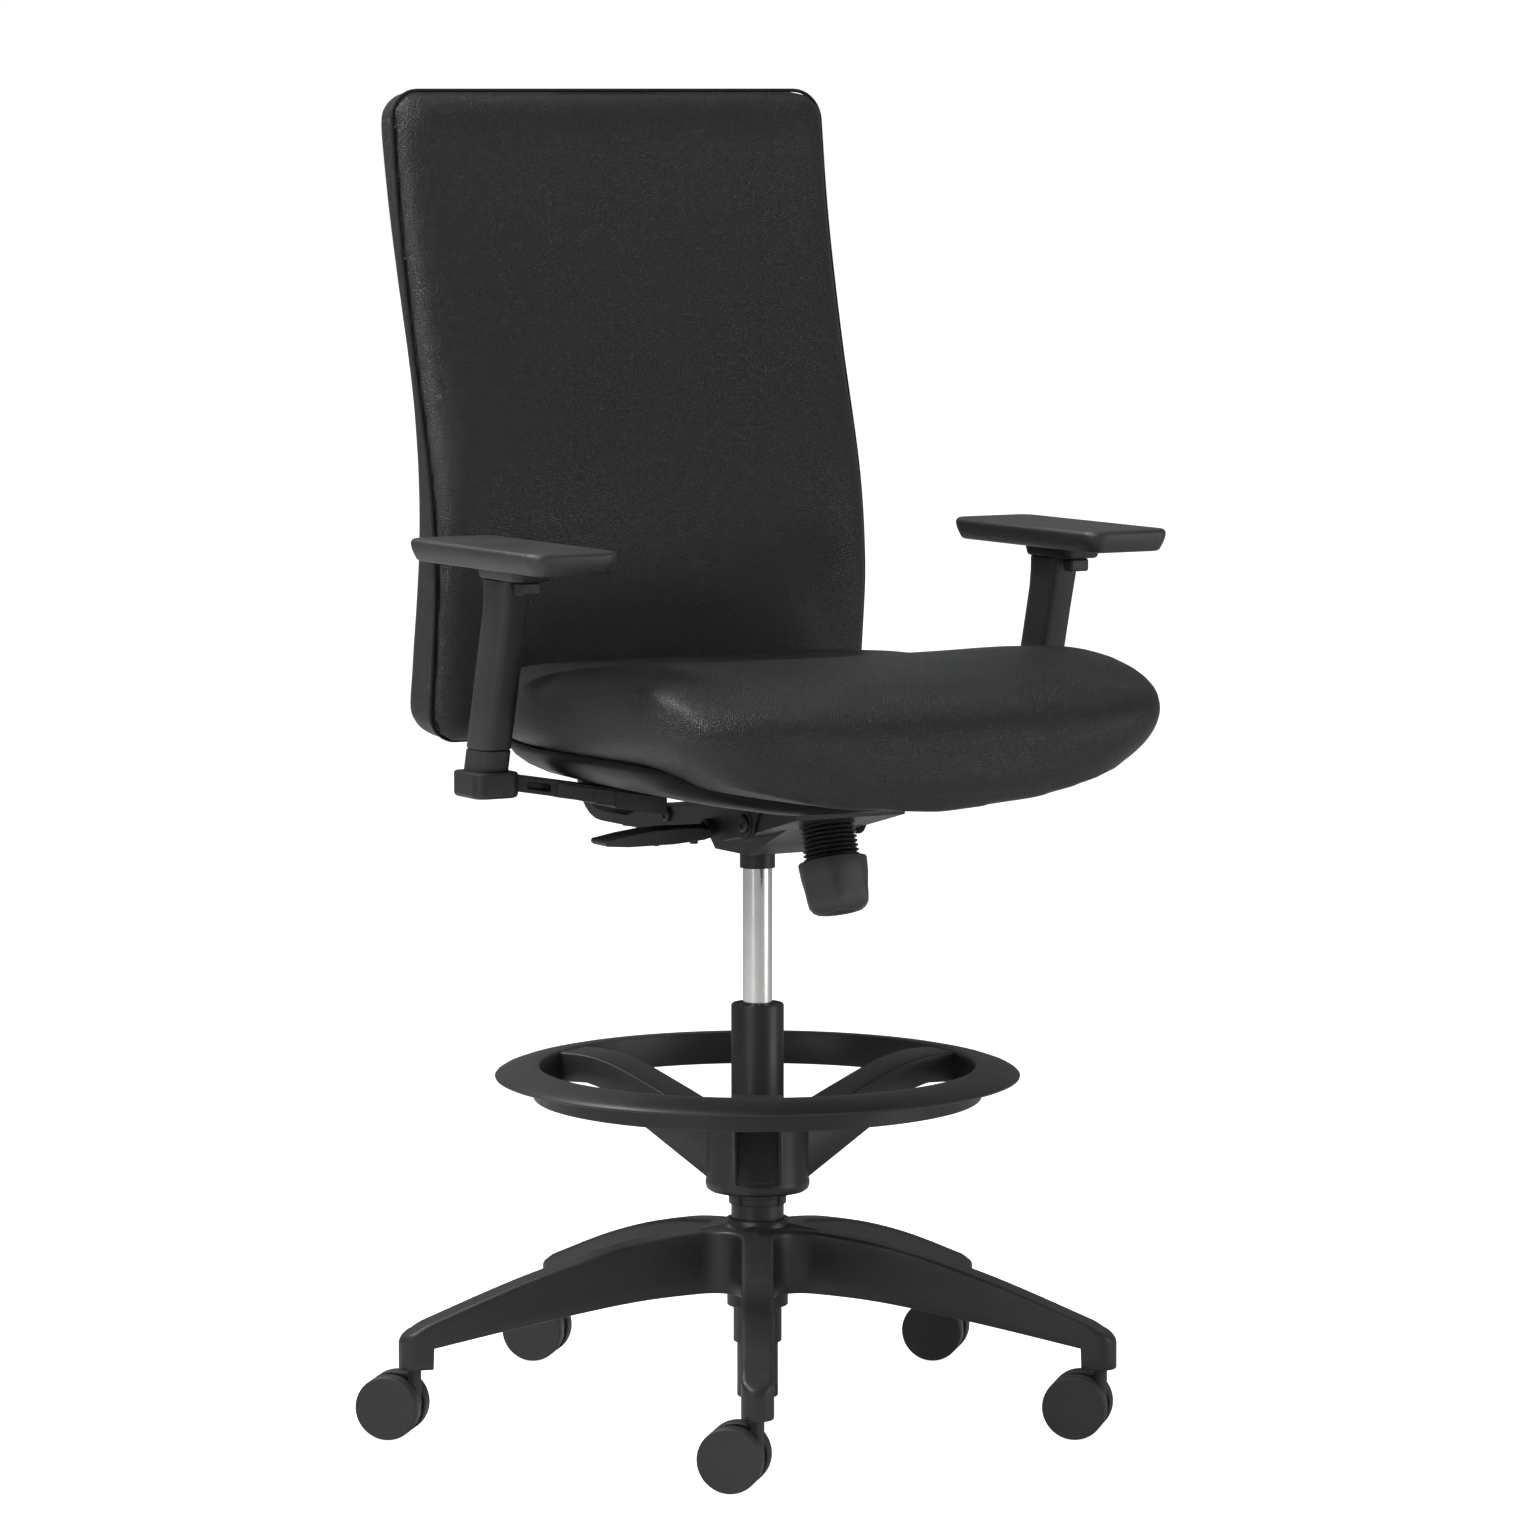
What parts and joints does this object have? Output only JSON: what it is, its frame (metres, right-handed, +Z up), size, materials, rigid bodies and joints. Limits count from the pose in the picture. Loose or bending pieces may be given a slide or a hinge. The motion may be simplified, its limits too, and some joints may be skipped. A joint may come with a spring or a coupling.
{
  "type": "drafting chair",
  "caption": "Tall upholstered swivel chair on a five-leg castor base, with a foot ring, gas lift, tilting seat and back, and height-adjustable arms.",
  "frame": {"origin": "floor level, under the middle of the chair's footprint", "axes": "+Z up; the seat faces -Y; +X is the sitter's left"},
  "size_m": [0.7218, 0.7394, 1.254],
  "materials": {
    "base_nylon": "satin",
    "castor_nylon": "satin",
    "black_plastic": "satin",
    "mechanism_black": "satin",
    "column_black": "satin",
    "cylinder_chrome": "polished",
    "bright_steel": "satin",
    "upholstery": "matte",
    "arm_pad": "satin"
  },
  "bodies": {
    "base": {"star_base": "base_nylon", "castor_1_stem": "bright_steel", "castor_2_stem": "bright_steel", "castor_3_stem": "bright_steel", "castor_4_stem": "bright_steel", "castor_5_stem": "bright_steel", "column_tube": "column_black", "guide_bush": "black_plastic", "thrust_bearing": "bright_steel"},
    "swivel": {"piston_rod": "bright_steel"},
    "lift": {"gas_cylinder": "cylinder_chrome", "mechanism_housing": "mechanism_black", "main_pivot_shaft": "mechanism_black", "rear_pivot_shaft": "mechanism_black", "tension_post": "black_plastic", "tension_spring": "bright_steel"},
    "valve_button": {"valve_button": "bright_steel"},
    "foot_ring": {"foot_ring": "base_nylon", "ring_collet": "black_plastic"},
    "height_lever": {"lever_rod": "mechanism_black", "lever_paddle": "black_plastic"},
    "tension_knob": {"tension_knob": "black_plastic"},
    "seat": {"seat_plate": "mechanism_black", "seat_pan": "black_plastic", "seat_cushion": "upholstery"},
    "back": {"back_bracket": "mechanism_black", "back_cushion": "upholstery", "back_panel": "upholstery"},
    "arm_right": {"arm_bar_right": "mechanism_black", "arm_upright_right": "black_plastic"},
    "armrest_right": {"arm_sleeve_right": "black_plastic", "arm_pad_base_right": "black_plastic", "arm_pad_right": "arm_pad"},
    "trigger_right": {"arm_trigger_right": "black_plastic"},
    "arm_left": {"arm_bar_left": "mechanism_black", "arm_upright_left": "black_plastic"},
    "armrest_left": {"arm_sleeve_left": "black_plastic", "arm_pad_base_left": "black_plastic", "arm_pad_left": "arm_pad"},
    "trigger_left": {"arm_trigger_left": "black_plastic"},
    "castor_1": {"castor_1_hood": "castor_nylon", "castor_1_axle": "bright_steel"},
    "wheel_1_near": {"castor_1_wheel_near": "castor_nylon"},
    "wheel_1_far": {"castor_1_wheel_far": "castor_nylon"},
    "castor_2": {"castor_2_hood": "castor_nylon", "castor_2_axle": "bright_steel"},
    "wheel_2_near": {"castor_2_wheel_near": "castor_nylon"},
    "wheel_2_far": {"castor_2_wheel_far": "castor_nylon"},
    "castor_3": {"castor_3_hood": "castor_nylon", "castor_3_axle": "bright_steel"},
    "wheel_3_near": {"castor_3_wheel_near": "castor_nylon"},
    "wheel_3_far": {"castor_3_wheel_far": "castor_nylon"},
    "castor_4": {"castor_4_hood": "castor_nylon", "castor_4_axle": "bright_steel"},
    "wheel_4_near": {"castor_4_wheel_near": "castor_nylon"},
    "wheel_4_far": {"castor_4_wheel_far": "castor_nylon"},
    "castor_5": {"castor_5_hood": "castor_nylon", "castor_5_axle": "bright_steel"},
    "wheel_5_near": {"castor_5_wheel_near": "castor_nylon"},
    "wheel_5_far": {"castor_5_wheel_far": "castor_nylon"}
  },
  "joints": [
    {"name": "seat_swivel", "type": "hinge", "parent": "base", "child": "swivel", "pos_m": [0.0214, -0.0167, 0.018], "axis": [0, 0, 1], "continuous": true},
    {"name": "seat_height", "type": "slide", "parent": "swivel", "child": "lift", "axis": [0, 0, 1], "range_m": [-0.12, 0.1]},
    {"name": "ring_height", "type": "slide", "parent": "base", "child": "foot_ring", "axis": [0, 0, 1], "range_m": [0, 0.08]},
    {"name": "height_lever_turn", "type": "hinge", "parent": "lift", "child": "height_lever", "pos_m": [-0.0366, -0.03076, 0.567], "axis": [0, 1, 0], "range_deg": [0, 3.5], "stiffness_Nm_per_rad": 2, "springref_deg": -8.59},
    {"name": "valve_button_press", "type": "slide", "parent": "lift", "child": "valve_button", "axis": [0, 0, 1], "range_m": [-0.0036, 0]},
    {"name": "back_tilt", "type": "hinge", "parent": "lift", "child": "back", "pos_m": [0.0214, 0.0533, 0.571], "axis": [-1, 0, 0], "range_deg": [0, 18], "stiffness_Nm_per_rad": 70, "springref_deg": -34.38},
    {"name": "seat_tilt", "type": "hinge", "parent": "lift", "child": "seat", "pos_m": [0.0214, -0.0997, 0.577], "axis": [-1, 0, 0], "range_deg": [0, 6.2]},
    {"name": "tension_knob_turn", "type": "hinge", "parent": "lift", "child": "tension_knob", "pos_m": [0.0214, -0.1622, 0.5215], "axis": [0, 0.2924, 0.9563], "range_deg": [-720, 720]},
    {"name": "arm_width_right", "type": "slide", "parent": "seat", "child": "arm_right", "axis": [-0.9857, 0, 0.1685], "range_m": [0, 0.025]},
    {"name": "armrest_height_right", "type": "slide", "parent": "arm_right", "child": "armrest_right", "axis": [0, -0.2553, 0.9669], "range_m": [0, 0.09]},
    {"name": "trigger_press_right", "type": "slide", "parent": "armrest_right", "child": "trigger_right", "axis": [0, 1, 0], "range_m": [0, 0.003], "stiffness_N_per_m": 900, "springref_m": -0.001},
    {"name": "arm_width_left", "type": "slide", "parent": "seat", "child": "arm_left", "axis": [0.9857, 0, 0.1685], "range_m": [0, 0.025]},
    {"name": "armrest_height_left", "type": "slide", "parent": "arm_left", "child": "armrest_left", "axis": [0, -0.2553, 0.9669], "range_m": [0, 0.09]},
    {"name": "trigger_press_left", "type": "slide", "parent": "armrest_left", "child": "trigger_left", "axis": [0, 1, 0], "range_m": [0, 0.003], "stiffness_N_per_m": 900, "springref_m": -0.001},
    {"name": "castor_1_swivel", "type": "hinge", "parent": "base", "child": "castor_1", "pos_m": [-0.1471, -0.30855, 0.062], "axis": [0, 0, 1], "continuous": true},
    {"name": "castor_1_roll_near", "type": "hinge", "parent": "castor_1", "child": "wheel_1_near", "pos_m": [-0.16282, -0.29389, 0.03], "axis": [0.682, 0.7314, 0], "continuous": true},
    {"name": "castor_1_roll_far", "type": "hinge", "parent": "castor_1", "child": "wheel_1_far", "pos_m": [-0.16282, -0.29389, 0.03], "axis": [0.682, 0.7314, 0], "continuous": true},
    {"name": "castor_2_swivel", "type": "hinge", "parent": "base", "child": "castor_2", "pos_m": [0.2469, -0.26714, 0.062], "axis": [0, 0, 1], "continuous": true},
    {"name": "castor_2_roll_near", "type": "hinge", "parent": "castor_2", "child": "wheel_2_near", "pos_m": [0.23117, -0.25248, 0.03], "axis": [0.682, 0.7314, 0], "continuous": true},
    {"name": "castor_2_roll_far", "type": "hinge", "parent": "castor_2", "child": "wheel_2_far", "pos_m": [0.23117, -0.25248, 0.03], "axis": [0.682, 0.7314, 0], "continuous": true},
    {"name": "castor_3_swivel", "type": "hinge", "parent": "base", "child": "castor_3", "pos_m": [0.32926, 0.12037, 0.062], "axis": [0, 0, 1], "continuous": true},
    {"name": "castor_3_roll_near", "type": "hinge", "parent": "castor_3", "child": "wheel_3_near", "pos_m": [0.31354, 0.13503, 0.03], "axis": [0.682, 0.7314, 0], "continuous": true},
    {"name": "castor_3_roll_far", "type": "hinge", "parent": "castor_3", "child": "wheel_3_far", "pos_m": [0.31354, 0.13503, 0.03], "axis": [0.682, 0.7314, 0], "continuous": true},
    {"name": "castor_4_swivel", "type": "hinge", "parent": "base", "child": "castor_4", "pos_m": [-0.01383, 0.31845, 0.062], "axis": [0, 0, 1], "continuous": true},
    {"name": "castor_4_roll_near", "type": "hinge", "parent": "castor_4", "child": "wheel_4_near", "pos_m": [-0.02955, 0.33312, 0.03], "axis": [0.682, 0.7314, 0], "continuous": true},
    {"name": "castor_4_roll_far", "type": "hinge", "parent": "castor_4", "child": "wheel_4_far", "pos_m": [-0.02955, 0.33312, 0.03], "axis": [0.682, 0.7314, 0], "continuous": true},
    {"name": "castor_5_swivel", "type": "hinge", "parent": "base", "child": "castor_5", "pos_m": [-0.30824, 0.05337, 0.062], "axis": [0, 0, 1], "continuous": true},
    {"name": "castor_5_roll_near", "type": "hinge", "parent": "castor_5", "child": "wheel_5_near", "pos_m": [-0.32396, 0.06803, 0.03], "axis": [0.682, 0.7314, 0], "continuous": true},
    {"name": "castor_5_roll_far", "type": "hinge", "parent": "castor_5", "child": "wheel_5_far", "pos_m": [-0.32396, 0.06803, 0.03], "axis": [0.682, 0.7314, 0], "continuous": true}
  ],
  "couplings": [
    {"joint": "seat_tilt", "follows": "back_tilt", "ratio": 0.34},
    {"joint": "valve_button_press", "follows": "height_lever_turn", "m_per_rad": -0.058}
  ]
}
